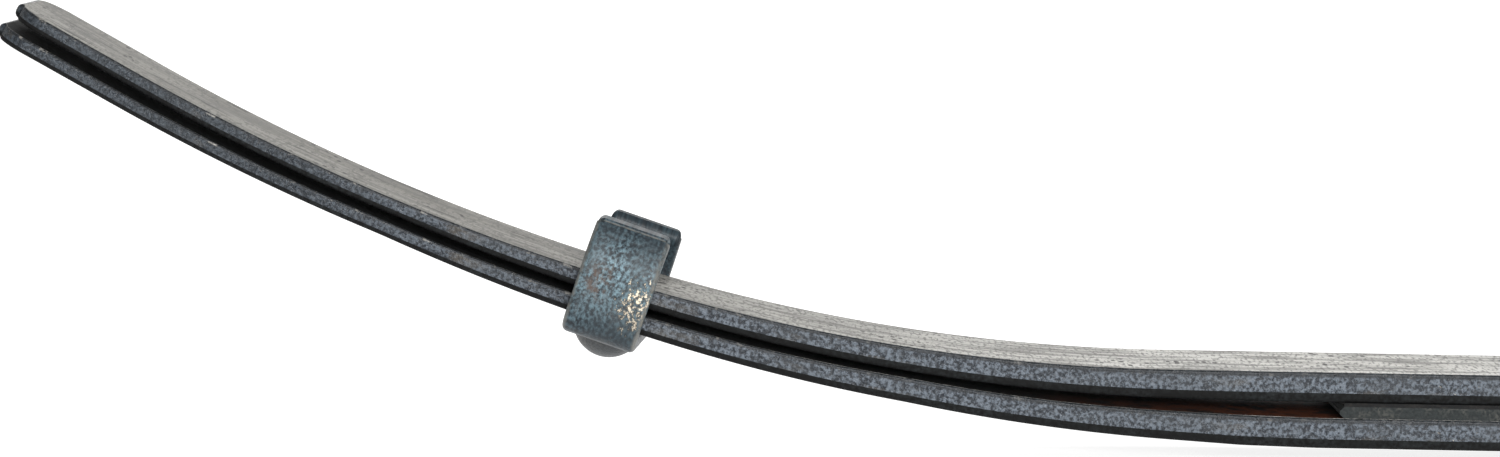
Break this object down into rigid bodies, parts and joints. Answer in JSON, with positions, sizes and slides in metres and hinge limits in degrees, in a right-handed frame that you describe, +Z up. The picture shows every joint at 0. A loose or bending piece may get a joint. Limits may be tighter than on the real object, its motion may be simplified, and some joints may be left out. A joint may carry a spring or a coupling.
{
  "type": "leaf spring",
  "caption": "Tapered slipper leaf spring: long flat-ended leaves curved upwards, a spacer pack and centre bolt at the seat, and a U-shaped rebound clip riveted on each side.",
  "frame": {"origin": "on the centre bolt's axis, at the flat underside of the lower leaf's seat", "axes": "+X along the leaves, +Y across their width, +Z up, away from the axle seat"},
  "size_m": [1.4624, 0.095, 0.2069],
  "materials": {
    "leaf_paint": "blue-black semi-gloss paint with a rough, pitted skin over hot-rolled spring steel",
    "clip_paint": "blue-black semi-gloss paint, chipped to cream primer and bare metal",
    "rivet_paint": "dark semi-gloss paint",
    "spacer_steel": "dark grey painted steel",
    "liner": "thin dull grey coated sheet",
    "bolt_steel": "dark painted steel with worn corners"
  },
  "bodies": {
    "centre": {"upper_leaf_seat": "leaf_paint", "lower_leaf_seat": "leaf_paint", "centre_spacer": "spacer_steel", "spacer_liner": "liner", "centre_bolt": "bolt_steel", "centre_nut": "bolt_steel"},
    "left_upper_arm": {"upper_leaf_arm_left": "leaf_paint"},
    "left_lower_arm": {"lower_leaf_arm_left": "leaf_paint", "clip_strap_left": "clip_paint", "clip_rivet_left": "rivet_paint"},
    "right_upper_arm": {"upper_leaf_arm_right": "leaf_paint"},
    "right_lower_arm": {"lower_leaf_arm_right": "leaf_paint", "clip_strap_right": "clip_paint", "clip_rivet_right": "rivet_paint"}
  },
  "joints": [
    {"name": "left_bend", "type": "hinge", "parent": "centre", "child": "left_upper_arm", "pos_m": [-0.28066, 0, 0.03602], "axis": [0, -1, 0], "range_deg": [0, 12], "stiffness_Nm_per_rad": 3800},
    {"name": "left_bend_lower", "type": "hinge", "parent": "centre", "child": "left_lower_arm", "pos_m": [-0.28238, 0, 0.02061], "axis": [0, -1, 0], "range_deg": [0, 12], "stiffness_Nm_per_rad": 3800},
    {"name": "right_bend", "type": "hinge", "parent": "centre", "child": "right_upper_arm", "pos_m": [0.28066, 0, 0.03602], "axis": [0, 1, 0], "range_deg": [0, 12], "stiffness_Nm_per_rad": 3800},
    {"name": "right_bend_lower", "type": "hinge", "parent": "centre", "child": "right_lower_arm", "pos_m": [0.28238, 0, 0.02061], "axis": [0, 1, 0], "range_deg": [0, 12], "stiffness_Nm_per_rad": 3800}
  ],
  "couplings": [
    {"joint": "left_bend_lower", "follows": "left_bend", "ratio": 1},
    {"joint": "right_bend_lower", "follows": "right_bend", "ratio": 1}
  ]
}
